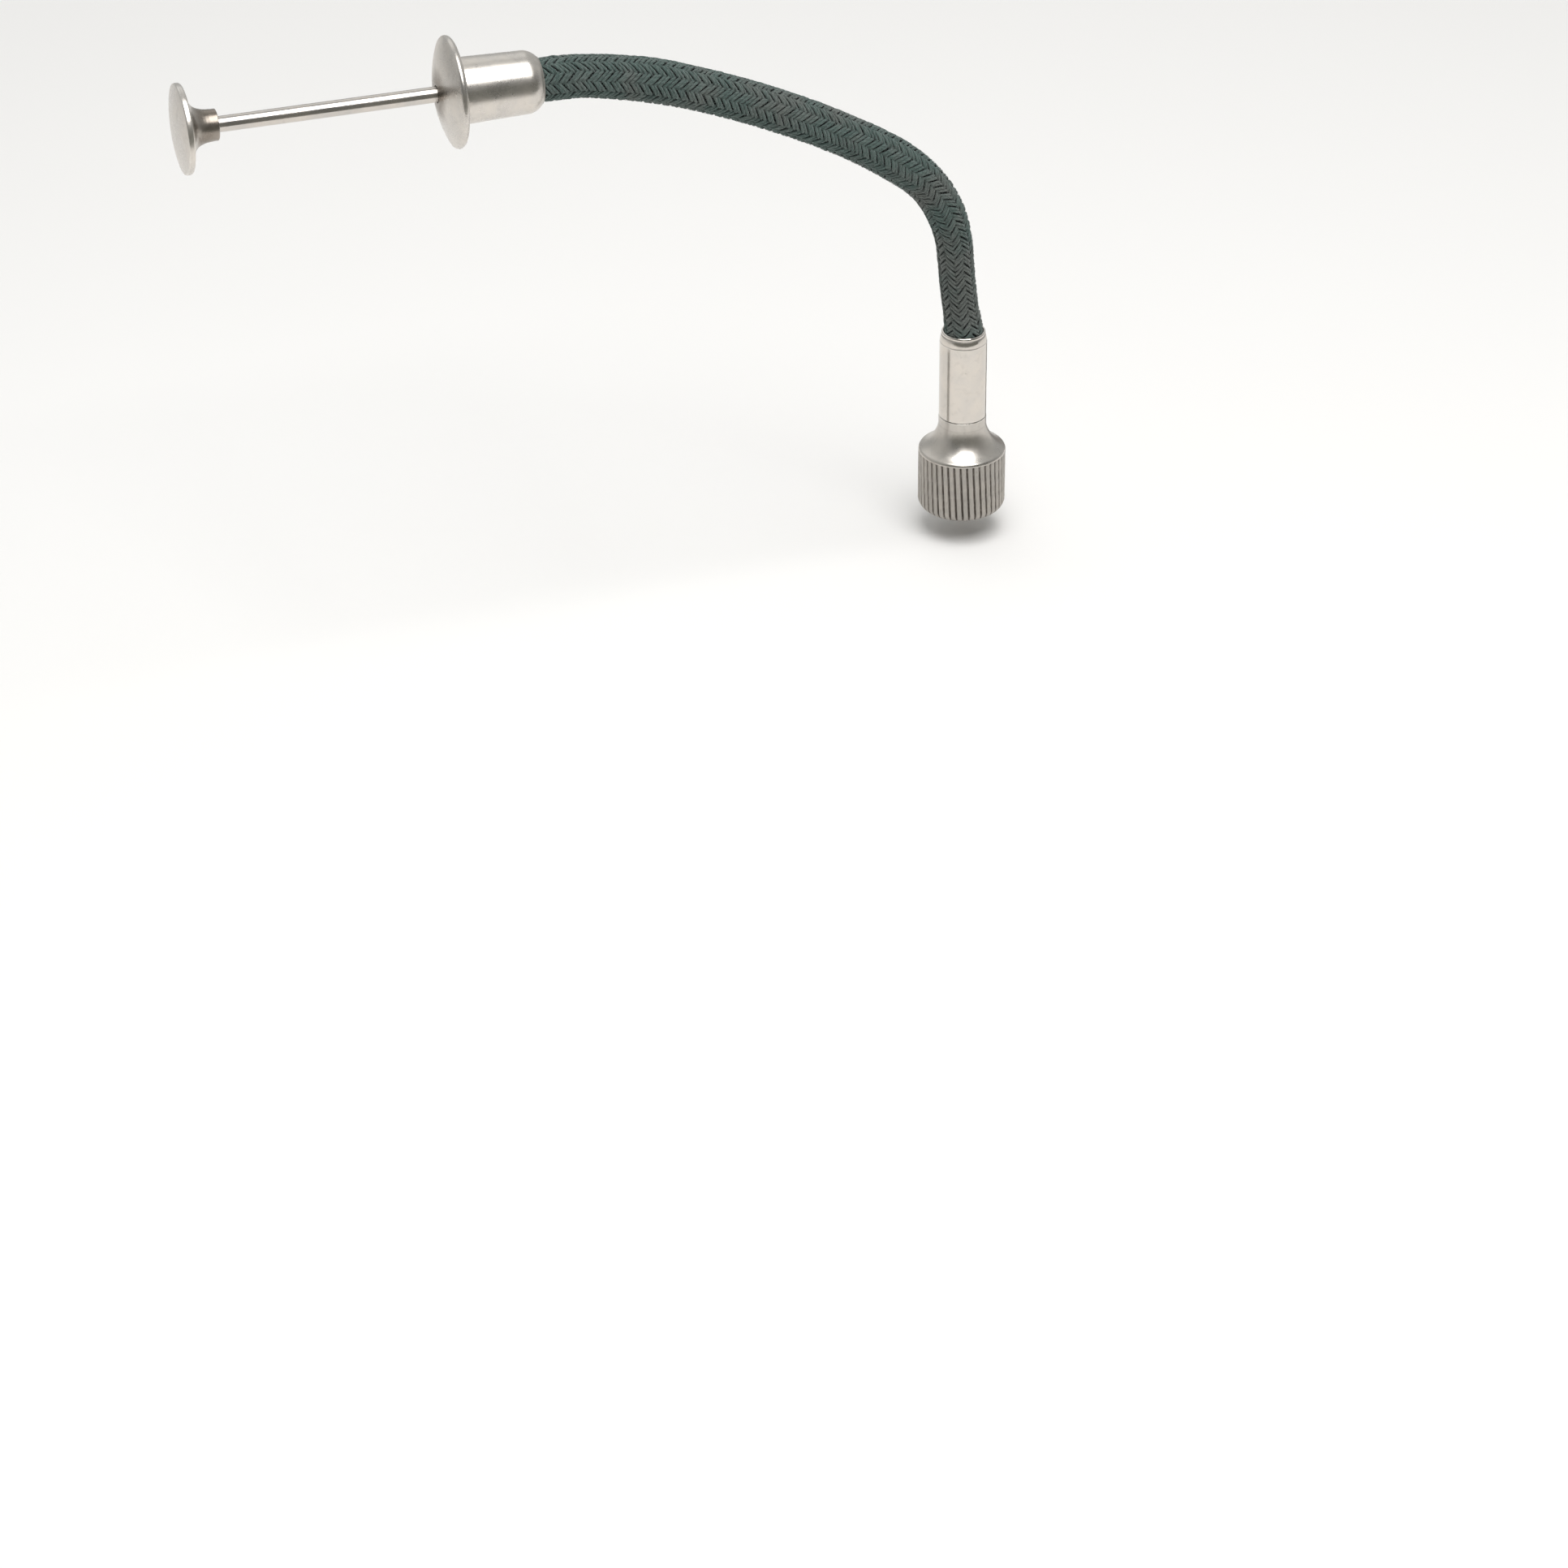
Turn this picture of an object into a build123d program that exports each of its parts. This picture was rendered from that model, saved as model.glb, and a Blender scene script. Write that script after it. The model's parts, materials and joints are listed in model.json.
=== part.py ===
from build123d import *
import math
import os

# Mechanical cable shutter release: thumb plunger and finger flange on a short barrel, a braided
# cable, and a knurled bell nut that screws over a camera's release collar.
# Millimetres.  +Z up along the bell nut, origin at the centre of its mouth.
# The cable arches from the end ferrule in the XZ plane to the handle, which lies along -X.

# ---- driving dimensions ------------------------------------------------------------------
RUN_CLEARANCE = 0.05          # radial clearance of the sliding and turning fits
CRIMP_GAP = 0.03              # radial gap left round the wire in its two sockets
END_GAP = 0.05                # gap between the wire's ends and the parts that push it
SEAT_GAP = 0.02               # gap between the coil's end and its seat in the ferrule
CABLE_GAP = 0.03              # gap between the full-size cable and the ferrule's top
EDGE_BREAK = 0.08             # small chamfer on a turned edge

# cable
BRAID_R = 2.60
BRAID_BORE_R = 1.87
BRAID_NECK_R = 2.42           # where the ferrule's lip squeezes the braid
BRAID_END_Z = 22.2            # end of the braid inside the ferrule
COIL_R = 1.84
COIL_SEAT_R = 1.86            # bore that seats the coil's end in the ferrule
COIL_BORE_R = 1.42
WIRE_R = 0.50
WIRE_GUIDE_R = 0.62           # bore that lets the wire slide out of the coil

# bell nut
BELL_R = 5.50                 # over the knurl's ribs
MOUTH_R = 4.85                # outside of the mouth, below the rounded edge
MOUTH_ROUND_Z = 1.5           # where the rounding of the lower edge starts
THREAD_R = 4.35               # wall of the threaded bore
THREAD_LENGTH = 5.2
RELIEF_R = 4.55
FLOOR_Z = 7.0                 # inside floor of the bell
SHOULDER_Z = 7.9              # where the shoulder starts to round over
NECK_R = 3.00
NECK_FLARE_Z = 11.6
NECK_TOP_Z = 12.72
KNURL_RIBS = 42
KNURL_DEPTH = 0.27
KNURL_GROOVE_SHARE = 0.45     # of the pitch, taken by the groove at the ribs' tops
CUTTER_REACH = 0.1            # how far the knurl's cutter stands outside the ribs

# end fitting on the cable, turning in the bell nut
STEM_R = 2.00
STEM_BORE_R = 1.60
STEM_BOTTOM_Z = 5.2
STEM_TOP_Z = 17.0
FERRULE_R = 2.98
FERRULE_BORE_R = 2.50
FERRULE_LIP_R = 2.46          # opening that squeezes the braid
FERRULE_BOTTOM_Z = 12.78
FERRULE_THROAT_Z = (22.5, 22.7)  # where the bore narrows to the opening
FERRULE_BEVEL_Z = 23.1        # lower edge of the bevel
FERRULE_BEVEL_R = 2.80        # top of the bevel, at the groove under the bead
FERRULE_GROOVE_Z = (24.0, 24.08)
FERRULE_GROOVE_R = 2.71
FERRULE_BEAD_R = 2.77
FERRULE_TOP_Z = 24.5
GUIDE_TOP_Z = 6.9
COLLAR_R = 3.30
COLLAR_Z = (5.6, 6.7)
WASHER_R = 3.60
WASHER_BORE_R = 2.10
WASHER_Z = (6.75, 6.95)
END_BUSH_Z = (19.8, 22.1)
COIL_END_Z = 20.4

# pin, its return spring and its wire socket
PIN_R = 0.80
PIN_TIP_ROUND = 0.35
PIN_TIP_Z = 5.3
PIN_TOP_Z = 18.5
TIP_SOCKET_R = 1.50
TIP_SOCKET_Z = (17.5, 19.5)
SPRING_MEAN_R = 1.28
SPRING_WIRE_R = 0.16
SPRING_TURNS = 7
SPRING_END_Z = (7.12, 17.3)   # centres of the first and last turns

# handle, measured from the barrel's mouth towards the thumb
HANDLE_Z = 66.0               # height of the handle's axis
MOUTH_X = -53.8               # where the cable enters the barrel
BARREL_R_MOUTH = 2.90
BARREL_R_SHOULDER = 3.77
BARREL_R_FLANGE = 4.03
BARREL_SHOULDER = 2.0
BARREL_LIP = 0.6              # length of the narrow mouth that grips the braid
BARREL_LENGTH = 11.4
BARREL_BORE_R = 3.30
BARREL_MOUTH_BORE_R = 2.64
FLANGE_R = 6.72
FLANGE_HOLE_R = 1.30
FLANGE_EDGE_R = 0.50          # half the thickness of the rounded rim
FLANGE_APEX = 12.55           # top of the dome's sphere, over the hole
FLANGE_RIM = 10.7             # middle of the rim
GUIDE_BACK = 8.35             # inner face of the rod guide bush
BRAID_RING = (2.05, 3.2)
ANCHOR_BUSH = (3.25, 6.0)
COIL_END = 4.7

# plunger
ROD_R = 0.95
ROD_SPIGOT_R = 0.60
ROD_SPIGOT_END = 6.3
WIRE_SOCKET_R = 1.30
WIRE_SOCKET = (4.3, 8.30)
ROD_END = 42.2
BUTTON_COLLAR = (38.9, 39.9)
BUTTON_COLLAR_R = 1.87
BUTTON_HUB_R = 2.55           # where the hub's trumpet meets the button's underside
BUTTON_HUB_TOP = 41.95
BUTTON_R = 5.40
BUTTON_RIM = (42.72, 43.32)   # lower and upper edge of the rounded rim
BUTTON_RIM_R = (5.00, 5.08)
BUTTON_TOP = 44.0

# the cable's route, from the ferrule's top to the barrel's mouth
ROUTE = [
    (0.0, 0.0, FERRULE_TOP_Z + CABLE_GAP),
    (0.0, 0.0, 28.0),
    (-0.6, 0.0, 33.0),
    (-1.45, 0.0, 38.0),
    (-3.2, 0.0, 42.8),
    (-6.2, 0.0, 46.8),
    (-11.6, 0.0, 50.9),
    (-19.8, 0.0, 55.7),
    (-30.0, 0.0, 60.5),
    (-39.6, 0.0, 64.05),
    (-46.4, 0.0, 65.5),
    (-50.2, 0.0, HANDLE_Z),
    (MOUTH_X, 0.0, HANDLE_Z),
]


# ---- helpers -----------------------------------------------------------------------------
def turned(outline):
    """Solid of revolution about Z of a closed outline drawn as (radius, height)."""
    return revolve(Plane.XZ * make_face(outline), Axis.Z)


def dome(outer, inner, edge, top):
    """Arc of a spherical cap centred on the axis, from its edge in to a smaller radius or to 0."""
    rise = top - edge
    sphere = (outer ** 2 + rise ** 2) / (2 * rise)
    radii = (outer, (outer + inner) / 2, inner)
    points = [(radius, top - sphere + math.sqrt(sphere ** 2 - radius ** 2)) for radius in radii]
    return ThreePointArc(*points)


def ring(outer, inner, low, high):
    """Plain turned ring between two heights."""
    body = Pos(0, 0, low) * Cylinder(outer, high - low, align=(Align.CENTER, Align.CENTER, Align.MIN))
    hole = Pos(0, 0, low) * Cylinder(inner, high - low, align=(Align.CENTER, Align.CENTER, Align.MIN))
    return body - hole


def rod(radius, low, high):
    """Plain rod between two heights."""
    return Pos(0, 0, low) * Cylinder(radius, high - low, align=(Align.CENTER, Align.CENTER, Align.MIN))


def on_handle(solid):
    """Move a solid from its own axis to the handle: its +Z points to the thumb, along -X."""
    return Pos(MOUTH_X, 0, HANDLE_Z) * Rot(0, -90, 0) * solid


def bend_radii(points):
    """Arc radius at each corner of the route: 0.45 of the shorter run over tan of half the turn."""
    radii = []
    for before, corner, after in zip(points, points[1:], points[2:]):
        run_in = Vector(*corner) - Vector(*before)
        run_out = Vector(*after) - Vector(*corner)
        half_turn = math.radians(run_in.get_angle(run_out)) / 2
        radii.append(0.45 * min(run_in.length, run_out.length) / math.tan(half_turn))
    return radii


def along_route(outer, inner):
    """Tube, or rod where inner is 0, along the cable's route."""
    path = FilletPolyline(*ROUTE, radius=bend_radii(ROUTE))
    section = Circle(outer)
    if inner:
        section -= Circle(inner)
    start = Plane(origin=path @ 0, z_dir=path % 0)
    return sweep(start * section, path=path), path.length


def save(name, shape):
    """Write one sub-part to its own STEP file."""
    export_step(shape, f"parts/{name}.step")


# ---- bell nut and end fitting --------------------------------------------------------------
def bell_nut():
    """Nut with a flared neck, a knurled skirt and a threaded bore, drawn at its minor radius."""
    outline = Polyline(
        (NECK_R, NECK_TOP_Z), (STEM_R + RUN_CLEARANCE, NECK_TOP_Z), (STEM_R + RUN_CLEARANCE, FLOOR_Z),
        (RELIEF_R, FLOOR_Z), (RELIEF_R, THREAD_LENGTH), (THREAD_R, THREAD_LENGTH), (THREAD_R, 0),
        (MOUTH_R, 0),
    )
    outline += ThreePointArc((MOUTH_R, 0), (5.34, 0.64), (BELL_R, MOUTH_ROUND_Z))
    outline += Line((BELL_R, MOUTH_ROUND_Z), (BELL_R, SHOULDER_Z))
    outline += ThreePointArc((BELL_R, SHOULDER_Z), (5.40, 8.25), (5.11, 8.49))
    outline += ThreePointArc((5.11, 8.49), (3.58, 9.72), (NECK_R, NECK_FLARE_Z))
    outline += Line((NECK_R, NECK_FLARE_Z), (NECK_R, NECK_TOP_Z))
    half_groove = KNURL_GROOVE_SHARE * math.pi * BELL_R / KNURL_RIBS
    half_cutter = half_groove * (KNURL_DEPTH + CUTTER_REACH) / KNURL_DEPTH
    reach = BELL_R + CUTTER_REACH
    groove = Polyline((BELL_R - KNURL_DEPTH, 0), (reach, half_cutter), (reach, -half_cutter), close=True)
    cutter = extrude(make_face(groove), SHOULDER_Z)
    cutters = [Rot(0, 0, 360 / KNURL_RIBS * index) * cutter for index in range(KNURL_RIBS)]
    return turned(outline) - cutters


def end_ferrule():
    """Plain sleeve over the stem, with a bevel, a fine groove and a bead at its opening."""
    groove_low, groove_high = FERRULE_GROOVE_Z
    throat_low, throat_high = FERRULE_THROAT_Z
    bead_top = (FERRULE_BEAD_R - 0.15, FERRULE_TOP_Z)
    outline = Polyline(
        bead_top, (FERRULE_LIP_R + EDGE_BREAK, FERRULE_TOP_Z), (FERRULE_LIP_R, FERRULE_TOP_Z - EDGE_BREAK),
        (FERRULE_LIP_R, throat_high), (FERRULE_BORE_R, throat_low), (FERRULE_BORE_R, FERRULE_BOTTOM_Z),
        (FERRULE_R, FERRULE_BOTTOM_Z), (FERRULE_R, FERRULE_BEVEL_Z), (FERRULE_BEVEL_R, groove_low),
        (FERRULE_GROOVE_R, groove_low), (FERRULE_GROOVE_R, groove_high),
    )
    bead_side = (FERRULE_BEAD_R, FERRULE_TOP_Z - 0.22)
    outline += ThreePointArc((FERRULE_GROOVE_R, groove_high), bead_side, bead_top)
    return turned(outline)


def swivel_stem():
    """Turned stem: pressed into the ferrule above, running in the bell's neck below."""
    outline = Polyline(
        (STEM_BORE_R, STEM_BOTTOM_Z), (STEM_R, STEM_BOTTOM_Z), (STEM_R, FERRULE_BOTTOM_Z),
        (FERRULE_BORE_R, FERRULE_BOTTOM_Z), (FERRULE_BORE_R, STEM_TOP_Z), (STEM_BORE_R, STEM_TOP_Z),
        close=True,
    )
    return turned(outline)


def stem_retaining_collar():
    """Collar pressed on the stem inside the bell, which keeps the nut on."""
    return ring(COLLAR_R, STEM_R, *COLLAR_Z)


def swivel_washer():
    """Thin washer between the collar and the bell's floor."""
    return ring(WASHER_R, WASHER_BORE_R, *WASHER_Z)


def pin_guide_bush():
    """Bush in the stem's lower end, which guides the pin and carries the spring."""
    return ring(STEM_BORE_R, PIN_R + RUN_CLEARANCE, STEM_BOTTOM_Z, GUIDE_TOP_Z)


def casing_end_bush():
    """Bush in the ferrule that seats the end of the casing coil and lets the wire through."""
    low, high = END_BUSH_Z
    seat = ring(FERRULE_BORE_R, COIL_SEAT_R, COIL_END_Z, high)
    return seat + ring(FERRULE_BORE_R, WIRE_GUIDE_R, low, COIL_END_Z)


def release_pin():
    """Pin that presses the camera's button, with a rounded tip."""
    flat = (PIN_R - PIN_TIP_ROUND, PIN_TIP_Z)
    side = (PIN_R, PIN_TIP_Z + PIN_TIP_ROUND)
    cut = PIN_TIP_ROUND * (1 - math.sqrt(0.5))
    outline = Polyline(side, (PIN_R, PIN_TOP_Z), (0, PIN_TOP_Z), (0, PIN_TIP_Z), flat)
    outline += ThreePointArc(flat, (PIN_R - cut, PIN_TIP_Z + cut), side)
    return turned(outline)


def tip_wire_socket():
    """Sleeve that joins the wire to the pin and is the return spring's upper seat."""
    low, high = TIP_SOCKET_Z
    return ring(TIP_SOCKET_R, PIN_R, low, PIN_TOP_Z) + ring(TIP_SOCKET_R, WIRE_R + CRIMP_GAP, PIN_TOP_Z, high)


def return_spring():
    """Open coil spring round the pin, in the stem's bore."""
    low, high = SPRING_END_Z
    coil = Helix(pitch=(high - low) / SPRING_TURNS, height=high - low, radius=SPRING_MEAN_R)
    start = Plane(origin=coil @ 0, z_dir=coil % 0)
    return Pos(0, 0, low) * sweep(start * Circle(SPRING_WIRE_R), path=coil, is_frenet=True)


# ---- cable -------------------------------------------------------------------------------
def braided_sleeve():
    """Woven cover, squeezed thin where the ferrule's lip holds it and full size in the barrel."""
    tube, length = along_route(BRAID_R, BRAID_BORE_R)
    volume = tube.volume
    expected = math.pi * (BRAID_R ** 2 - BRAID_BORE_R ** 2) * length
    print(f"route {length:.2f} mm, braid {volume:.1f} mm3, section x length {expected:.1f} mm3")
    in_ferrule = ring(BRAID_NECK_R, BRAID_BORE_R, BRAID_END_Z, ROUTE[0][2])
    in_barrel = on_handle(ring(BRAID_R, BRAID_BORE_R, 0, BRAID_RING[1]))
    return tube + in_ferrule + in_barrel


def casing_coil():
    """Close-wound wire casing, as a plain tube, seated in the two end bushes."""
    tube, _ = along_route(COIL_R, COIL_BORE_R)
    in_ferrule = ring(COIL_R, COIL_BORE_R, COIL_END_Z + SEAT_GAP, ROUTE[0][2])
    in_barrel = on_handle(ring(COIL_R, COIL_BORE_R, 0, COIL_END))
    return tube + in_ferrule + in_barrel


def inner_wire():
    """Push wire from the plunger's socket to the pin's socket."""
    core, _ = along_route(WIRE_R, 0)
    in_ferrule = rod(WIRE_R, PIN_TOP_Z + END_GAP, ROUTE[0][2])
    in_barrel = on_handle(rod(WIRE_R, 0, ROD_SPIGOT_END - END_GAP))
    return core + in_ferrule + in_barrel


# ---- handle ------------------------------------------------------------------------------
def barrel_shell():
    """Slightly tapered tube with a rounded shoulder rolled in over the cable."""
    outline = Polyline(
        (BARREL_R_SHOULDER, BARREL_SHOULDER), (BARREL_R_FLANGE, BARREL_LENGTH),
        (BARREL_BORE_R, BARREL_LENGTH), (BARREL_BORE_R, BARREL_SHOULDER),
        (BARREL_MOUTH_BORE_R, BARREL_LIP), (BARREL_MOUTH_BORE_R, 0), (BARREL_R_MOUTH - EDGE_BREAK, 0),
        (BARREL_R_MOUTH, EDGE_BREAK),
    )
    outline += ThreePointArc((BARREL_R_MOUTH, EDGE_BREAK), (3.57, 0.95), (BARREL_R_SHOULDER, BARREL_SHOULDER))
    return on_handle(turned(outline))


def finger_flange():
    """Thin domed disc with a rounded rim and a flat seat on its back for the barrel."""
    edge = FLANGE_R - FLANGE_EDGE_R
    front = FLANGE_RIM + FLANGE_EDGE_R
    back = FLANGE_RIM - FLANGE_EDGE_R
    seat = (BARREL_R_FLANGE, BARREL_LENGTH)
    front_face = dome(edge, FLANGE_HOLE_R, front, FLANGE_APEX)
    outline = Polyline(front_face @ 1, (FLANGE_HOLE_R, BARREL_LENGTH), seat)
    outline += ThreePointArc(seat, (5.2, 10.85), (edge, back))
    outline += ThreePointArc((edge, back), (FLANGE_R, FLANGE_RIM), (edge, front))
    outline += front_face
    return on_handle(turned(outline))


def rod_guide_bush():
    """Bush in the front of the barrel: guides the rod and is its outward stop."""
    return on_handle(ring(BARREL_BORE_R, ROD_R + RUN_CLEARANCE, GUIDE_BACK, BARREL_LENGTH))


def braid_clamp_ring():
    """Ring that clamps the braid's end inside the barrel."""
    return on_handle(ring(BARREL_BORE_R, BRAID_R, *BRAID_RING))


def casing_anchor_bush():
    """Bush that seats the casing coil's end and lets the plunger's socket through."""
    low, high = ANCHOR_BUSH
    seat = ring(BARREL_BORE_R, COIL_R, low, COIL_END)
    stop = ring(BARREL_BORE_R, COIL_BORE_R + RUN_CLEARANCE, COIL_END, high)
    return on_handle(seat + stop)


# ---- plunger -----------------------------------------------------------------------------
def plunger_rod():
    """Polished rod with a reduced end for the wire socket."""
    return on_handle(rod(ROD_R, WIRE_SOCKET[1], ROD_END) + rod(ROD_SPIGOT_R, ROD_SPIGOT_END, WIRE_SOCKET[1]))


def wire_socket():
    """Sleeve crimped on the rod's end and the wire, which slides into the casing's bore."""
    low, high = WIRE_SOCKET
    wire_end = ring(WIRE_SOCKET_R, WIRE_R + CRIMP_GAP, low, ROD_SPIGOT_END)
    return on_handle(wire_end + ring(WIRE_SOCKET_R, ROD_SPIGOT_R, ROD_SPIGOT_END, high))


def thumb_button():
    """Shallow domed button on a trumpet-shaped hub, with a blind bore for the rod."""
    collar_low, collar_high = BUTTON_COLLAR
    collar_end = (BUTTON_COLLAR_R, collar_high)
    hub_end = (BUTTON_HUB_R, BUTTON_HUB_TOP)
    under = (BUTTON_RIM_R[0], BUTTON_RIM[0])
    over = (BUTTON_RIM_R[1], BUTTON_RIM[1])
    outline = Polyline(
        (0, BUTTON_TOP), (0, ROD_END), (ROD_R, ROD_END), (ROD_R, collar_low),
        (BUTTON_COLLAR_R, collar_low), collar_end,
    )
    outline += ThreePointArc(collar_end, (2.02, 41.0), hub_end)
    outline += Line(hub_end, under)
    outline += ThreePointArc(under, (BUTTON_R, sum(BUTTON_RIM) / 2), over)
    outline += dome(over[0], 0, over[1], BUTTON_TOP)
    return on_handle(turned(outline))


def build():
    """Make every sub-part and write it."""
    os.makedirs("parts", exist_ok=True)
    print("bend radii", [round(radius, 1) for radius in bend_radii(ROUTE)])
    makers = [
        bell_nut, end_ferrule, swivel_stem, stem_retaining_collar, swivel_washer, pin_guide_bush,
        casing_end_bush, release_pin, tip_wire_socket, return_spring, braided_sleeve, casing_coil,
        inner_wire, barrel_shell, finger_flange, rod_guide_bush, braid_clamp_ring,
        casing_anchor_bush, plunger_rod, wire_socket, thumb_button,
    ]
    for maker in makers:
        save(maker.__name__, maker())


build()
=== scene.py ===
"""Looks of the cable shutter release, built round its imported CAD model. Lengths are in metres
unless a name or comment says millimetres (MM scales them)."""

import json
import math

import bmesh
import bpy
import numpy as np
from mathutils import Matrix, Vector


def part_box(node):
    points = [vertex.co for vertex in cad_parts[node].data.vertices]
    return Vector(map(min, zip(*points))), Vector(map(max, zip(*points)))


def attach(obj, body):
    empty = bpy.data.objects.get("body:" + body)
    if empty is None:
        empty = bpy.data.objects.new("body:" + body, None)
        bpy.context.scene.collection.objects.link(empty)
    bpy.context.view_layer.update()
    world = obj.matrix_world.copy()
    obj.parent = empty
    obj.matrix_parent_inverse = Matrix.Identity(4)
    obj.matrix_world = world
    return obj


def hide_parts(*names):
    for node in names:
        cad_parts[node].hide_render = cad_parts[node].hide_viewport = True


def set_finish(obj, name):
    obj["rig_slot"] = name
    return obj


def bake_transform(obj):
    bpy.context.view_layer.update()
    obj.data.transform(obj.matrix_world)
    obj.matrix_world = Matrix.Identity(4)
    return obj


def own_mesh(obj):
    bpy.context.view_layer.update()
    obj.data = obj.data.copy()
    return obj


MM = 0.001

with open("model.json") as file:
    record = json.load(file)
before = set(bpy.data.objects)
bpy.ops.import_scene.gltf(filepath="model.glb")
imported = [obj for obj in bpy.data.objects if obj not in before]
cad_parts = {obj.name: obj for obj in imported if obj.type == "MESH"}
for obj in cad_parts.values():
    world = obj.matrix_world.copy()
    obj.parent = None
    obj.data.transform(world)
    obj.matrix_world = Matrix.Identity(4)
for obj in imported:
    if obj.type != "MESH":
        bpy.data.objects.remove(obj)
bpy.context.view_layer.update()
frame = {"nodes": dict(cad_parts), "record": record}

# ---- places and sizes, mostly from the frame, in millimetres ------------------------------
barrel_low, barrel_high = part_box("barrel_shell")
flange_low, flange_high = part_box("finger_flange")
button_low, button_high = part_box("thumb_button")
ferrule_low, ferrule_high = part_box("end_ferrule")

HANDLE_Z = (barrel_low.z + barrel_high.z) / 2 / MM          # height of the handle's axis
MOUTH_X = barrel_high.x / MM                                # where the cable enters the barrel
BARREL_LENGTH = (barrel_high.x - barrel_low.x) / MM
BARREL_R = (barrel_high.z - barrel_low.z) / 2 / MM
FLANGE_R = (flange_high.z - flange_low.z) / 2 / MM
FLANGE_FRONT = MOUTH_X - flange_low.x / MM                  # from the barrel's mouth, as the next ones
BUTTON_R = (button_high.z - button_low.z) / 2 / MM
BUTTON_TOP = MOUTH_X - button_low.x / MM
BUTTON_COLLAR = MOUTH_X - button_high.x / MM
FERRULE_R = ferrule_high.x / MM
FERRULE_BOTTOM = ferrule_low.z / MM
FERRULE_TOP = ferrule_high.z / MM
BELL_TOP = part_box("bell_nut")[1].z / MM
BELL_R = 5.50                                               # over the knurl's ribs
NECK_R = 3.00                                               # of the bell nut's neck
SIDEWAYS = np.array((0.0, 1.0, 0.0))                        # across the plane of the cable's arch

ON_BELL_AXIS = Matrix.Identity(4)
ON_HANDLE = Matrix.Translation((MOUTH_X * MM, 0, HANDLE_Z * MM)) @ Matrix.Rotation(-math.pi / 2, 4, "Y")

# the cable's route in metres, ferrule to barrel: the control points of a smooth curve
ROUTE = [
    (0.0, 0.0, 0.02495),
    (-0.00055, 0.0, 0.0283),
    (-0.00105, 0.0, 0.0330),
    (-0.00145, 0.0, 0.0380),
    (-0.0032, 0.0, 0.0428),
    (-0.0062, 0.0, 0.0468),
    (-0.0116, 0.0, 0.0509),
    (-0.0198, 0.0, 0.0557),
    (-0.0300, 0.0, 0.0605),
    (-0.0396, 0.0, 0.06405),
    (-0.0464, 0.0, 0.0655),
    (-0.0502, 0.0, 0.0660),
    (-0.0538, 0.0, 0.0660),
]

rng = np.random.default_rng(11)


# ---- camera ------------------------------------------------------------------------------
def add_camera():
    """Long lens from the front left, looking down, with the object in the upper part of the frame."""
    azimuth, elevation, roll = math.radians(-17.98), math.radians(31.49), math.radians(-0.30)
    aim, distance = Vector((-0.02383, 0, -0.03726)), 0.7043
    back = Vector((
        math.sin(azimuth) * math.cos(elevation),
        -math.cos(azimuth) * math.cos(elevation),
        math.sin(elevation),
    ))
    level_right = Vector((math.cos(azimuth), math.sin(azimuth), 0))
    level_up = back.cross(level_right)
    right = level_right * math.cos(roll) + level_up * math.sin(roll)
    up = level_up * math.cos(roll) - level_right * math.sin(roll)
    camera = bpy.data.objects.new("camera", bpy.data.cameras.new("camera"))
    camera.data.sensor_width = 36
    camera.data.lens = 124.97
    camera.data.clip_start = 0.02
    camera.data.clip_end = 20
    place = Matrix((right, up, back)).transposed().to_4x4()
    place.translation = aim + back * distance
    camera.matrix_world = place
    bpy.context.scene.collection.objects.link(camera)
    bpy.context.scene.camera = camera


add_camera()


# ---- meshes ------------------------------------------------------------------------------
FILLET_STEP = 0.16            # radians, the longest step round a fillet
FILLET_REACH = 0.499          # the most that a fillet takes of either line beside it
ON_AXIS_R = 1e-6              # mm, a smaller radius is a point on the axis
SHARP_ANGLE = math.radians(38)
EDGE_BULGE = (2.2, 8.0)       # per mm, where an edge starts to count as worn, and where it counts in full
HOLLOW_FOLD = (1.2, 5.0)      # the same for a fold that holds grime


def add_piece(name, mesh):
    """Object of this mesh in the scene, smooth, with outward normals."""
    work = bmesh.new()
    work.from_mesh(mesh)
    bmesh.ops.recalc_face_normals(work, faces=work.faces)
    work.to_mesh(mesh)
    work.free()
    mesh.shade_smooth()
    piece = bpy.data.objects.new(name, mesh)
    bpy.context.scene.collection.objects.link(piece)
    return piece


def round_angles(count):
    """Equal steps round a circle."""
    return np.arange(count) * 2 * math.pi / count


def unit(vectors):
    """Each vector at length 1."""
    return vectors / np.linalg.norm(vectors, axis=1)[:, None]


def rounded(*corners):
    """Outline in (radius, height), mm, through corners given as (radius, height, fillet)."""
    points = []
    count = len(corners)
    for index, corner in enumerate(corners):
        here = np.array(corner[:2], float)
        fillet = corner[2] if len(corner) > 2 else 0
        if fillet == 0:
            points.append(here)
            continue
        into = np.array(corners[index - 1][:2]) - here
        out = np.array(corners[(index + 1) % count][:2]) - here
        length_in, length_out = np.linalg.norm(into), np.linalg.norm(out)
        into, out = into / length_in, out / length_out
        half = math.acos(np.clip(into @ out, -1, 1)) / 2
        reach = min(fillet / math.tan(half), FILLET_REACH * length_in, FILLET_REACH * length_out)
        radius = reach * math.tan(half)
        centre = here + (into + out) / np.linalg.norm(into + out) * radius / math.sin(half)
        first = math.atan2(*(here + into * reach - centre)[::-1])
        last = math.atan2(*(here + out * reach - centre)[::-1])
        sweep = (last - first + math.pi) % (2 * math.pi) - math.pi
        steps = max(3, math.ceil(abs(sweep) / FILLET_STEP))
        for step in range(steps + 1):
            angle = first + sweep * step / steps
            points.append(centre + radius * np.array((math.cos(angle), math.sin(angle))))
    return points


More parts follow.
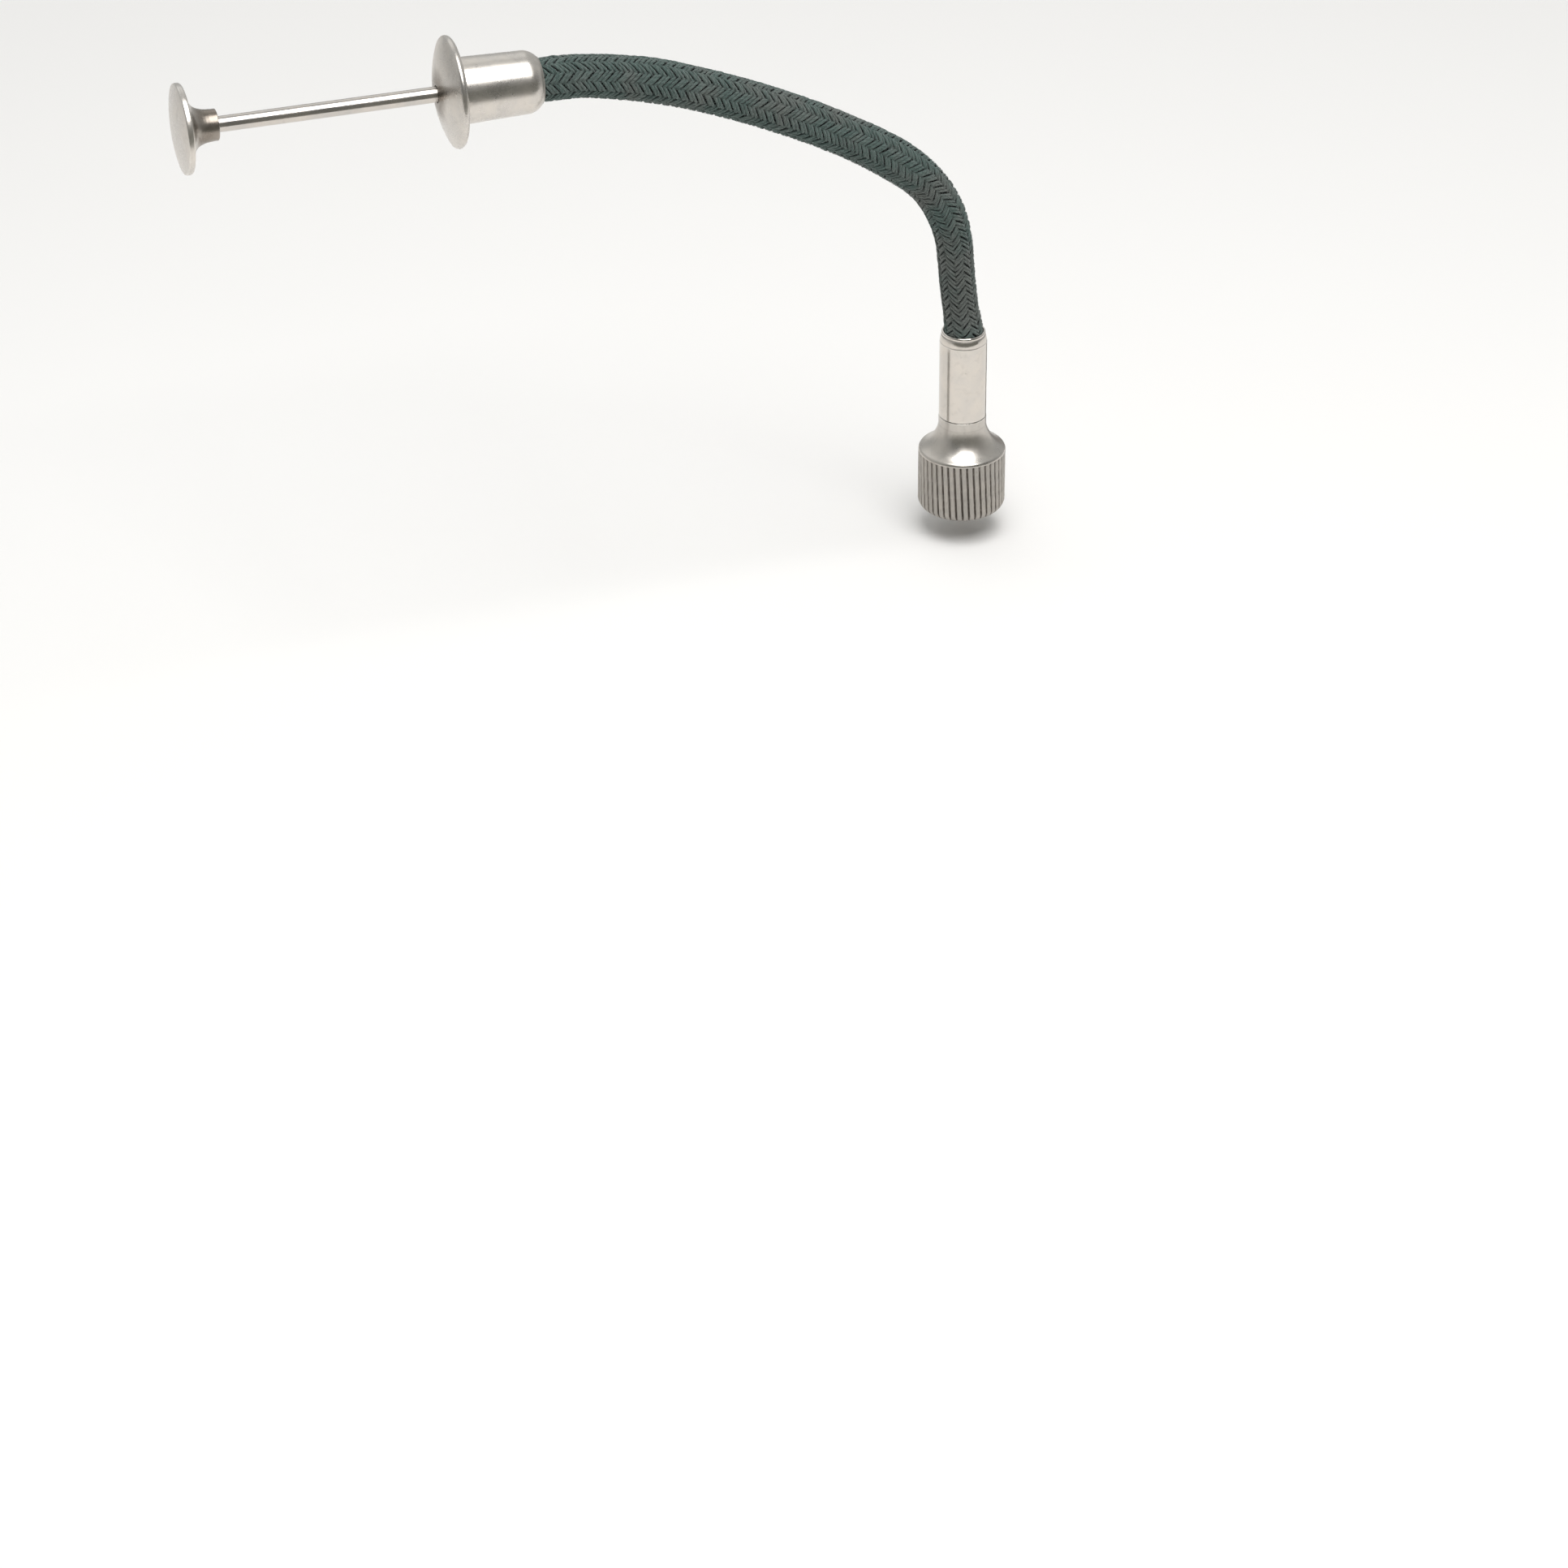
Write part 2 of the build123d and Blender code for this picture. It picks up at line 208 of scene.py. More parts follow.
def arc(start, via, end, steps=10):
    """Corners of the circular arc from start through via to end."""
    (ax, ay), (bx, by), (cx, cy) = start, via, end
    cross = 2 * (ax * (by - cy) + bx * (cy - ay) + cx * (ay - by))
    a2, b2, c2 = ax * ax + ay * ay, bx * bx + by * by, cx * cx + cy * cy
    x = (a2 * (by - cy) + b2 * (cy - ay) + c2 * (ay - by)) / cross
    y = (a2 * (cx - bx) + b2 * (ax - cx) + c2 * (bx - ax)) / cross
    radius = math.hypot(ax - x, ay - y)
    first = math.atan2(ay - y, ax - x)
    turn = 1 if cross > 0 else -1
    sweep = turn * ((turn * (math.atan2(cy - y, cx - x) - first)) % (2 * math.pi))
    angles = [first + sweep * step / steps for step in range(steps + 1)]
    return [(x + radius * math.cos(a), y + radius * math.sin(a)) for a in angles]


def conic(start, corner, end, weight, steps=14):
    """Corners of a smooth bend from start to end, drawn closer to its corner as the weight grows."""
    t = np.linspace(0, 1, steps + 1)[:, None]
    shares = (1 - t) ** 2, 2 * weight * t * (1 - t), t ** 2
    points = sum(share * np.array(point, float) for share, point in zip(shares, (start, corner, end)))
    return [tuple(point) for point in points / sum(shares)]


def refined(points, closed, longest=0.55, near_corner=0.07):
    """The outline with its long lines divided, and a point close to each of their ends."""
    result = []
    pairs = zip(points, points[1:] + points[:1]) if closed else zip(points, points[1:])
    for start, end in pairs:
        start, end = np.array(start, float), np.array(end, float)
        length = np.linalg.norm(end - start)
        result.append(start)
        if length > 4 * near_corner:
            count = max(2, math.ceil(length / longest))
            inner = np.linspace(near_corner, length - near_corner, count)
            result.extend(start + (end - start) * at / length for at in inner)
    if not closed:
        result.append(np.array(points[-1], float))
    return result


def lathe(name, points, place, columns=144, radius_at=None):
    """Turned solid. An outline that starts and ends on the axis is closed there; any other is a ring.
    columns is their number or their angles. radius_at(radius, height, angle) reshapes the rings, as a
    knurl or a thread does."""
    closed = points[0][0] > ON_AXIS_R
    points = refined(list(points), closed)
    angles = columns if hasattr(columns, "__len__") else round_angles(columns)
    vertices, rings = [], []
    for radius, height in points:
        if radius < ON_AXIS_R:
            rings.append([len(vertices)])
            vertices.append((0, 0, height))
            continue
        rings.append(list(range(len(vertices), len(vertices) + len(angles))))
        radii = [radius_at(radius, height, a) if radius_at else radius for a in angles]
        vertices.extend((r * math.cos(a), r * math.sin(a), height) for r, a in zip(radii, angles))
    faces = []
    pairs = list(zip(rings, rings[1:])) + ([(rings[-1], rings[0])] if closed else [])
    for low, high in pairs:
        for i in range(len(angles)):
            j = (i + 1) % len(angles)
            if len(low) == 1:
                faces.append((low[0], high[i], high[j]))
            elif len(high) == 1:
                faces.append((low[i], low[j], high[0]))
            else:
                faces.append((low[i], low[j], high[j], high[i]))
    mesh = bpy.data.meshes.new(name)
    mesh.from_pydata([tuple(v * MM for v in vertex) for vertex in vertices], [], faces)
    mesh.transform(place)
    piece = add_piece(name, mesh)
    piece.data.set_sharp_from_angle(angle=SHARP_ANGLE)
    mark_wear(piece.data)
    return piece


def mark_wear(mesh):
    """Vertex attributes edge and hollow, from 0 to 1: how sharply the surface bulges or folds in.
    Each is evened out with its neighbours."""
    count = len(mesh.vertices)
    places = np.zeros(count * 3)
    mesh.vertices.foreach_get("co", places)
    places = places.reshape(-1, 3) / MM
    normals = np.array([v.vector[:] for v in mesh.vertex_normals])
    ends = np.zeros(len(mesh.edges) * 2, int)
    mesh.edges.foreach_get("vertices", ends)
    a, b = ends.reshape(-1, 2).T
    along = places[b] - places[a]
    squared = (along ** 2).sum(1)
    bulge_a = -2 * (normals[a] * along).sum(1) / squared
    bulge_b = 2 * (normals[b] * along).sum(1) / squared
    edge, hollow = np.zeros(count), np.zeros(count)
    for ids, bulge in ((a, bulge_a), (b, bulge_b)):
        np.maximum.at(edge, ids, bulge)
        np.maximum.at(hollow, ids, -bulge)
    for name, value, (low, high) in (("edge", edge, EDGE_BULGE), ("hollow", hollow, HOLLOW_FOLD)):
        value = np.clip((value - low) / (high - low), 0, 1)
        total, near = value.copy(), np.ones(count)
        for one, other in ((a, b), (b, a)):
            np.add.at(total, one, value[other])
            np.add.at(near, one, 1)
        layer = mesh.attributes.new(name, "FLOAT", "POINT")
        layer.data.foreach_set("value", ((value + total / near) / 2).astype(np.float32))


def tube_mesh(paths, sides, name):
    """One mesh of closed tubes, with rings of points at the angles sides. A path gives its centres, the
    two half-axes of each ring, its shade, and how deep each ring lies in the braid."""
    vertices, faces, uvs, shades, depths = [], [], [], [], []
    n = len(sides)
    ring = np.array([(math.cos(a), math.sin(a)) for a in sides])
    for centres, wide, high, shade, depth in paths:
        base = len(vertices)
        count = len(centres)
        points = centres[:, None] + wide[:, None] * ring[None, :, :1] + high[:, None] * ring[None, :, 1:]
        vertices.extend(points.reshape(-1, 3))
        run = np.concatenate([[0], np.cumsum(np.linalg.norm(np.diff(centres, axis=0), axis=1))])
        for i in range(count - 1):
            here, there = base + i * n, base + (i + 1) * n
            for k in range(n):
                m = (k + 1) % n
                faces.append((here + k, here + m, there + m, there + k))
                left, right = k / n, (k + 1) / n
                uvs.extend(((left, run[i]), (right, run[i]), (right, run[i + 1]), (left, run[i + 1])))
        for first in (base, base + (count - 1) * n):
            faces.append(tuple(range(first, first + n)))
            uvs.extend([(0.0, 0.0)] * n)
        shades.extend([shade] * (count * n))
        depths.extend(np.repeat(depth, n))
    mesh = bpy.data.meshes.new(name)
    mesh.from_pydata([tuple(v) for v in np.array(vertices) * MM], [], faces)
    layer = mesh.uv_layers.new(name="yarn")
    layer.data.foreach_set("uv", np.array(uvs, np.float32).ravel())
    for label, values in (("shade", shades), ("depth", depths)):
        attribute = mesh.attributes.new(label, "FLOAT", "POINT")
        attribute.data.foreach_set("value", np.array(values, np.float32))
    return add_piece(name, mesh)


# ---- the cable ---------------------------------------------------------------------------
def route_points():
    """Close points, mm, on the smooth curve that has the route as its control points."""
    curve = bpy.data.curves.new("cable_route", "CURVE")
    curve.dimensions = "3D"
    curve.resolution_u = 40
    spline = curve.splines.new("NURBS")
    spline.points.add(len(ROUTE) - 1)
    for point, place in zip(spline.points, ROUTE):
        point.co = (*place, 1)
    spline.order_u = 3
    spline.use_endpoint_u = True
    holder = bpy.data.objects.new("cable_route", curve)
    line = bpy.data.meshes.new_from_object(holder)
    points = np.array([v.co[:] for v in line.vertices]) / MM
    bpy.data.objects.remove(holder)
    return points


class Centreline:
    """The cable's centreline by distance, mm, from the route's start, with a straight run in each of
    the two fittings."""

    STEP = 0.1
    EASE = 12                 # steps, each way, over which the frames turn smoothly
    LEAD_POINTS = 20

    def __init__(self, route, before, after):
        self.route = route
        lead_in = route[0] - np.outer(np.linspace(before, self.STEP, self.LEAD_POINTS), (0, 0, 1))
        lead_out = route[-1] - np.outer(np.linspace(self.STEP, after, self.LEAD_POINTS), (1, 0, 0))
        points = np.vstack([lead_in, route, lead_out])
        run = np.concatenate([[0], np.cumsum(np.linalg.norm(np.diff(points, axis=0), axis=1))]) - before
        self.length = run[-1] - after
        self.run = np.arange(-before, self.length + after, self.STEP)
        self.places = np.stack([np.interp(self.run, run, points[:, k]) for k in range(3)], 1)
        tangents = np.pad(np.gradient(self.places, axis=0), ((self.EASE, self.EASE), (0, 0)), mode="edge")
        window = np.ones(2 * self.EASE + 1)
        self.tangents = np.stack([np.convolve(tangents[:, k], window, "valid") for k in range(3)], 1)

    def at(self, distance):
        """Places, and normals in the plane of the arch, at these distances."""
        places = np.stack([np.interp(distance, self.run, self.places[:, k]) for k in range(3)], 1)
        tangents = unit(np.stack([np.interp(distance, self.run, self.tangents[:, k]) for k in range(3)], 1))
        normals = np.stack([-tangents[:, 2], np.zeros(len(tangents)), tangents[:, 0]], 1)
        return places, normals

    def around(self, distance, angle, radius):
        """Points off the centreline at these distances, angles and radii, and the way out to each."""
        places, normals = self.at(distance)
        outward = normals * np.cos(angle)[:, None] + SIDEWAYS * np.sin(angle)[:, None]
        return places + outward * np.reshape(radius, (-1, 1)), outward


CABLE = Centreline(route_points(), before=6.6, after=7.0)
COLUMNS = 12                  # braid columns round the cable, leaning left and right in turn
YARN_WIDE = 0.194             # mm, half the width of a yarn
YARN_HIGH = 0.165             # mm, half its thickness
YARN_SPREAD = 0.196           # of the pitch of the strands, from a strand's middle to either yarn
LAYER_R = 2.275               # mm, between the upper and the lower layer
LAYER_RISE = 0.172            # mm, from there to either layer
UNDER_R = 2.03                # mm, outside of the dark under layer
UNDER_BORE_R = 1.87
UNDER_THINNEST = 0.03         # mm, its wall where the braid is narrowest
IN_FERRULE = 2.5              # mm of braid hidden in the ferrule
IN_BARREL = 2.6               # mm of braid hidden in the barrel
CROSSING = 1.95               # how sharply a yarn passes from one layer to the other
KNOTS_PAST_END = 3            # mm, from either end of the route to the last knot of the unevenness
YARN_WANDER = 0.018, 40       # spread and knots: radians round the cable,
YARN_LUMPS = 0.020, 110       # mm off its layer,
YARN_SWELL = 0.06, 110        # and share of its width and thickness
# the under layer's tone, and the depth in the braid that paints it darker as shade
YARN_SHADE_UNDER, YARN_DEPTH_UNDER = 0.4, 0.62

# the casing coil and the push wire, mm
COIL_R, COIL_WIRE, COIL_PITCH = 1.64, 0.42, 0.425
COIL_IN_FERRULE, COIL_IN_BARREL = 3.9, 4.6
PUSH_WIRE_R = 0.5
PUSH_WIRE_IN_FERRULE, PUSH_WIRE_IN_BARREL = 5.9, 6.2
POINTS_PER_TURN = 18          # of any coil
PLAIN_SHADE = 0.5             # of whatever isn't a yarn

# along the cable, mm: the braid's size, and the length of one stitch where it is drawn out or pushed up
SIZE_AT = [-2.4, -0.4, 0.4, 2.4, 9, 13, 16, 21, 25, 28, 34, 44, 56, 61, 67, 70, 73.5, 75.3, 78]
SIZES = [
    0.90, 0.935, 0.925, 0.870, 0.872, 0.89, 0.93, 0.955, 1.02, 1.04, 1.0, 1.01, 1.01, 1.045, 1.01, 0.99,
    1.02, 1.0, 0.985,
]
STITCH_AT = [-2.4, 3, 12, 20, 35, 60, 78]
STITCHES = [1.10, 1.25, 1.24, 1.10, 1.14, 1.19, 1.16]


def uneven(distance, spread, knots):
    """Random values of this spread that change smoothly along the cable."""
    at = np.linspace(-KNOTS_PAST_END, CABLE.length + KNOTS_PAST_END, knots)
    return np.interp(distance, at, rng.normal(0, spread, knots))


def yarn(start_angle, hand, samples=440):
    """One yarn of a strand that winds right (hand 1) or left (-1), over two strands and under two."""
    distance = np.linspace(-IN_FERRULE, CABLE.length + IN_BARREL, samples)
    turns = 2 * math.pi / COLUMNS / np.interp(distance, STITCH_AT, STITCHES)
    turned = np.concatenate([[0], np.cumsum((turns[1:] + turns[:-1]) / 2 * np.diff(distance))])
    angle = start_angle + hand * turned + uneven(distance, *YARN_WANDER)
    wave = np.cos(angle * COLUMNS / 2 - math.pi / 4)
    over = hand * np.tanh(wave * CROSSING) / math.tanh(CROSSING)
    lumps = uneven(distance, *YARN_LUMPS)
    size = np.interp(distance, SIZE_AT, SIZES)
    centres, outward = CABLE.around(distance, angle, (LAYER_R + LAYER_RISE * over + lumps) * size)
    forward = unit(np.gradient(centres, distance, axis=0))
    across = unit(np.cross(forward, outward))
    fat = ((1 + uneven(distance, *YARN_SWELL)) * size)[:, None]
    wide, high = across * (YARN_WIDE * fat), np.cross(across, forward) * (YARN_HIGH * fat)
    return centres, wide, high, rng.random(), (1 - over) / 2


def braid(name, hand):
    """All the strands of one hand, each of two yarns side by side."""
    pitch = 2 * math.pi / COLUMNS
    starts = [pitch * (strand + side * YARN_SPREAD) for strand in range(COLUMNS) for side in (-1, 1)]
    sides = np.radians((-28, 22, 62, 90, 118, 158, 208, 270))     # closest on a yarn's outside, which shows
    return tube_mesh([yarn(start, hand) for start in starts], sides, name)


def round_tube(name, distance, radius, sides, shade=PLAIN_SHADE, depth=0.0):
    """Round tube along the cable's centreline."""
    places, normals = CABLE.at(distance)
    radius = np.broadcast_to(radius, len(distance))[:, None]
    path = places, SIDEWAYS * radius, normals * radius, shade, np.full(len(distance), depth)
    return tube_mesh([path], round_angles(sides), name)


def under_layer(name, samples=200):
    """The undersides of the crossing yarns, darkened with painted shade and seen through the gaps of the
    braid: a thin sleeve, open inside at the handle's end, where the plunger comes in."""
    distance = np.linspace(-IN_FERRULE, CABLE.length + IN_BARREL, samples)
    outside = np.maximum(UNDER_R * np.interp(distance, SIZE_AT, SIZES), UNDER_BORE_R + UNDER_THINNEST)
    there_and_back = np.concatenate([distance, distance[::-1]])
    radius = np.concatenate([outside, np.full(samples, UNDER_BORE_R)])
    return round_tube(name, there_and_back, radius, 48, YARN_SHADE_UNDER, YARN_DEPTH_UNDER)


def fuzz(name, count=7000):
    """Loose cotton fibres that stand a little off the braid, curved and each lying its own way."""
    along = np.linspace(0, 1, 5)
    thick = (0.009 - 0.004 * along)[:, None]
    paths = []
    for _ in range(count):
        start = rng.uniform(0.3, CABLE.length - 0.3)
        angle = rng.uniform(0, 2 * math.pi)
        lean = rng.uniform(-math.pi, math.pi)
        length = rng.uniform(0.15, 0.48)
        lift = rng.uniform(0.01, 0.09)
        run = start + math.cos(lean) * length * along
        turn = angle + (math.sin(lean) * length * along + rng.normal(0, 0.05) * along ** 2) / LAYER_R
        size = np.interp(run, SIZE_AT, SIZES)
        surface = (LAYER_R + LAYER_RISE + YARN_HIGH * 0.75) * size
        radius = surface + lift * np.sin(along * rng.uniform(1.6, 3.0))
        centres, outward = CABLE.around(run, turn, radius)
        forward = unit(np.gradient(centres, axis=0))
        across = unit(np.cross(forward, outward))
        paths.append((centres, across * thick, np.cross(across, forward) * thick, rng.random(), 0 * along))
    return tube_mesh(paths, np.radians((90, 210, 330)), name)


def coil_mesh(name, centres, outward, wire):
    """Coil of round wire on these centres, outward being the way from the coil's axis."""
    across = np.cross(unit(np.gradient(centres, axis=0)), outward)
    path = centres, across * wire / 2, outward * wire / 2, PLAIN_SHADE, np.zeros(len(centres))
    return tube_mesh([path], round_angles(8), name)


def casing(name):
    """Close-wound casing along the cable."""
    start, end = -COIL_IN_FERRULE, CABLE.length + COIL_IN_BARREL
    distance = np.linspace(start, end, int((end - start) / COIL_PITCH * POINTS_PER_TURN))
    angle = (distance - start) / COIL_PITCH * 2 * math.pi
    return coil_mesh(name, *CABLE.around(distance, angle, COIL_R), COIL_WIRE)


def open_spring(name, radius, wire, turns, start, end):
    """Open spring along Z from start to end, with three quarters of a closed turn at either end."""
    closed = 1.5 * 2 * math.pi                     # radians of closed turn, both ends together
    rise = 1.02 * wire / (2 * math.pi)             # per radian of closed turn
    angle = np.linspace(0, turns * 2 * math.pi + closed, int(turns * POINTS_PER_TURN))
    free = np.clip((angle - closed / 2) / (angle[-1] - closed), 0, 1)
    height = start + rise * closed / 2 + free * (end - start - rise * closed)
    height += rise * (np.clip(angle, 0, closed / 2) - closed / 2)
    height += rise * np.clip(angle - angle[-1] + closed / 2, 0, None)
    outward = np.stack([np.cos(angle), np.sin(angle), np.zeros(len(angle))], 1)
    return coil_mesh(name, outward * radius + np.outer(height, (0, 0, 1)), outward, wire)


def add_cable():
    """The braid in its two hands, the casing coil and the push wire, bending between the two fittings."""
    right = braid("braid_right_lay", 1)
    left = braid("braid_left_lay", -1)
    loose = fuzz("braid_loose_fibres")
    under = under_layer("braid_under_layer")
    coil = casing("casing_wire")
    wire_run = np.linspace(-PUSH_WIRE_IN_FERRULE, CABLE.length + PUSH_WIRE_IN_BARREL, 160)
    wire = round_tube("push_wire", wire_run, PUSH_WIRE_R, 14)
    for piece, node, slot in (
        (right, "braided_sleeve", "braid_green"), (left, "braided_sleeve", "braid_green"),
        (loose, "braided_sleeve", "braid_green"), (under, "braided_sleeve", "braid_green"),
        (coil, "casing_coil", "spring_steel"), (wire, "inner_wire", "spring_steel"),
    ):
        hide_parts(node)
        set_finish(piece, slot)
        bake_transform(piece)
    return {"braid": [right, left, loose, under], "spring_wire": [coil, wire]}


# ---- turned pieces, in millimetres -------------------------------------------------------
KNURL_RIBS = 42
KNURL_DEPTH = 0.27
KNURL_LEAN = math.radians(3.0)
KNURL_TOP = 7.80
KNURL_RUN_OUT = 0.12          # mm below the top, over which the grooves end
KNURL_INSIDE_R = 4.80         # the skirt's outside lies beyond this
GROOVE_AT_MOUTH = 0.35        # of its full depth, at the mouth's edge
GROOVE_RUN_IN = 0.8           # mm of height in which a groove would gain its full depth
GROOVE_SHARE = 0.40           # of the pitch
GROOVE_POWER = 0.85           # of its sides, straight at 1
RIB_FALL = 0.028              # mm, from a rib's middle to its edges
RIB_POWER = 2.5
# share of the grime tint laid over the whole knurled skirt, ribs too: painted shade, as of a dark surface
# reflected in it
SKIRT_PAINTED_SHADE = 0.36
THREAD_R, THREAD_PITCH, THREAD_DEEP = 4.36, 0.5, 0.23
THREAD_LOW, THREAD_HIGH, THREAD_OUTSIDE_R = 0.24, 5.06, 4.625
THREAD_STEP = THREAD_PITCH / 8


def groove_depth(angle, height):
    """Depth of the knurl at an angle: narrow V grooves between nearly flat, slightly crowned ribs."""
    lean = math.tan(KNURL_LEAN) * height / BELL_R
    phase = ((angle + lean) * KNURL_RIBS / (2 * math.pi)) % 1
    off_groove = abs(phase - 0.5) * 2
    if off_groove < GROOVE_SHARE:
        return KNURL_DEPTH * (1 - off_groove / GROOVE_SHARE) ** GROOVE_POWER
    return RIB_FALL * ((1 - off_groove) / (1 - GROOVE_SHARE)) ** RIB_POWER


def bell_radius(radius, height, angle):
    """Bell's outline with the knurl cut into its skirt; the grooves end just below the shoulder."""
    if radius < KNURL_INSIDE_R or height > KNURL_TOP:
        return radius
    depth = groove_depth(angle, height) * min(1, (KNURL_TOP - height) / KNURL_RUN_OUT)
    return radius - depth * min(1, GROOVE_AT_MOUTH + height / GROOVE_RUN_IN)


def grime_and_shade_knurl(mesh):
    """Let the grime fill the knurl, darker the deeper in a groove; painted shade darkens the whole skirt,
    ribs too.
    """
    for vertex, hollow in zip(mesh.vertices, mesh.attributes["hollow"].data):
        x, y, height = vertex.co / MM
        if math.hypot(x, y) > KNURL_INSIDE_R and height < KNURL_TOP:
            share = groove_depth(math.atan2(y, x), height) / KNURL_DEPTH
            hollow.value = max(hollow.value, min(1, SKIRT_PAINTED_SHADE + share))


def add_bell():
    """Nut: flared neck, rounded shoulder, knurled skirt with a rounded lower edge, stepped bore."""
    skirt = rounded(
        (2.06, 7.00, 0.04), (4.56, 7.00, 0.10), (4.56, 5.30, 0.03), (4.62, 5.20, 0.02), (4.62, 0.22, 0.03),
        (4.74, 0.0, 0.05), *arc((4.85, 0.0), (5.38, 0.55), (BELL_R, 1.30)),
        (BELL_R, KNURL_TOP - KNURL_RUN_OUT), *arc((BELL_R, KNURL_TOP), (5.42, 8.10), (5.24, 8.27)),
        *arc((5.24, 8.27), (3.70, 9.68), (NECK_R, 11.6), 26)[1:],
        (NECK_R, BELL_TOP, 0.05), (2.06, BELL_TOP, 0.05),
    )
    # columns of points within one rib's pitch, closest in its groove, which is at the middle
    phases = np.array((0, 0.15, 0.27, 0.305, 0.36, 0.44, 0.5, 0.56, 0.64, 0.695, 0.73, 0.85))
    columns = np.concatenate([(rib + phases) * 2 * math.pi / KNURL_RIBS for rib in range(KNURL_RIBS)])
    nut = lathe("bell_nut_knurled", skirt, ON_BELL_AXIS, columns, bell_radius)
    grime_and_shade_knurl(nut.data)

    def thread(radius, height, angle):
        """Thread with narrow flats, drawn on the sleeve's inside."""
        if radius > THREAD_R:
            return radius
        phase = (height / THREAD_PITCH + angle / (2 * math.pi)) % 1
        return THREAD_R + THREAD_DEEP * min(1, max(0, 1.25 * abs(phase - 0.5) * 2 - 0.125))

    steps = math.ceil((THREAD_HIGH - THREAD_LOW) / THREAD_STEP)
    inside = [(THREAD_R, THREAD_LOW + THREAD_STEP * step) for step in range(steps)]
    outside = [(THREAD_OUTSIDE_R, THREAD_HIGH), (THREAD_OUTSIDE_R, THREAD_LOW)]
    sleeve = lathe("bell_nut_thread", inside + outside, ON_BELL_AXIS, 120, thread)
    for piece in (nut, sleeve):
        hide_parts("bell_nut")
        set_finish(piece, "nickel_satin")
        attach(piece, "bell")
    return [nut, sleeve]


def turned_pieces():
    """Name, node, body, slot, place and outline of each turned piece that shows."""
    return [
        ("ferrule_sleeve", "end_ferrule", "tip_fitting", "nickel_polished", ON_BELL_AXIS, rounded(
            (2.50, FERRULE_BOTTOM, 0.03), (FERRULE_R, FERRULE_BOTTOM, 0.07), (FERRULE_R, 23.02, 0.05),
            *arc((2.955, 23.10), (2.90, 23.58), (2.79, 23.98)), (2.74, 24.03, 0.03), (2.74, 24.08, 0.02),
            *arc((2.73, 24.10), (2.77, 24.30), (2.64, FERRULE_TOP)), (2.53, FERRULE_TOP, 0.04),
            (2.44, 24.38, 0.08), (2.44, 22.7), (2.50, 22.5),
        )),
        ("stem", "swivel_stem", "tip_fitting", "nickel_polished", ON_BELL_AXIS, rounded(
            (1.60, 5.20, 0.05), (2.00, 5.20, 0.14), (2.00, 12.78), (2.50, 12.78), (2.50, 17.0), (1.60, 17.0),
        )),
        ("retaining_collar", "stem_retaining_collar", "tip_fitting", "brass_bare", ON_BELL_AXIS, rounded(
            (2.00, 5.60, 0.10), (3.30, 5.60, 0.18), (3.30, 6.70, 0.10), (2.00, 6.70, 0.04),
        )),
        ("washer", "swivel_washer", "tip_fitting", "spring_steel", ON_BELL_AXIS, rounded(
            (2.10, 6.75, 0.03), (3.60, 6.75, 0.05), (3.60, 6.95, 0.05), (2.10, 6.95, 0.03),
        )),
        ("guide_bush", "pin_guide_bush", "tip_fitting", "brass_bare", ON_BELL_AXIS, rounded(
            (0.85, 5.24, 0.10), (1.60, 5.24, 0.05), (1.60, 6.90), (0.85, 6.90, 0.05),
        )),
        ("pin", "release_pin", "pin", "steel_polished", ON_BELL_AXIS, rounded(
            (0, 18.5), (0.80, 18.5, 0.05), (0.80, 5.3, 0.34), (0, 5.3),
        )),
        ("barrel", "barrel_shell", "handle", "nickel_satin", ON_HANDLE, rounded(
            (2.64, 0.0, 0.02), (2.86, 0.0, 0.05), *arc((2.92, 0.10), (3.57, 0.95), (3.77, 2.0)),
            (BARREL_R, BARREL_LENGTH, 0.03), (3.30, BARREL_LENGTH), (3.30, 2.0, 0.1), (2.64, 0.6, 0.1),
        )),
        ("flange", "finger_flange", "handle", "nickel_satin", ON_HANDLE, flange_outline()),
        ("guide_front", "rod_guide_bush", "handle", "brass_bare", ON_HANDLE, rounded(
            (1.00, 8.35, 0.05), (3.30, 8.35, 0.1), (3.30, BARREL_LENGTH), (1.00, BARREL_LENGTH, 0.08),
        )),
        ("rod", "plunger_rod", "plunger", "steel_polished", ON_HANDLE, rounded(
            (0, 42.2), (0.95, 42.2, 0.05), (0.95, 8.30, 0.08), (0.60, 8.30), (0.60, 6.30, 0.05), (0, 6.30),
        )),
        ("button", "thumb_button", "plunger", "nickel_satin", ON_HANDLE, button_outline()),
    ]


def domed(outer, round_r, sphere, top, inner, last):
    """Corners of a dome, from its inner radius out and over a full round rim to the last angle, degrees."""
    middle = top - sphere
    rim_r = outer - round_r
    rim_h = middle + math.sqrt((sphere - round_r) ** 2 - rim_r ** 2)
    tilt = math.asin(rim_r / (sphere - round_r))
    leans = np.linspace(math.asin(inner / sphere), tilt, 24)
    turns = np.linspace(math.pi / 2 - tilt, math.radians(last), 18)[1:]
    crown = [(sphere * math.sin(lean), middle + sphere * math.cos(lean)) for lean in leans]
    return crown + [(rim_r + round_r * math.cos(a), rim_h + round_r * math.sin(a)) for a in turns]


def flange_outline():
    """Domed disc: spherical front, full round rim, hollow back with a flat seat for the barrel."""
    hole, sphere = 1.06, 15.0
    top = FLANGE_FRONT + sphere - math.sqrt(sphere ** 2 - hole ** 2)
    front = domed(FLANGE_R, 0.50, sphere, top, hole, -125)
    hollow = arc(front[-1], (5.1, 10.87), (BARREL_R, BARREL_LENGTH - 0.02))[1:]
    return front + hollow + [(BARREL_R, BARREL_LENGTH), (hole, BARREL_LENGTH), (hole, FLANGE_FRONT - 0.06)]


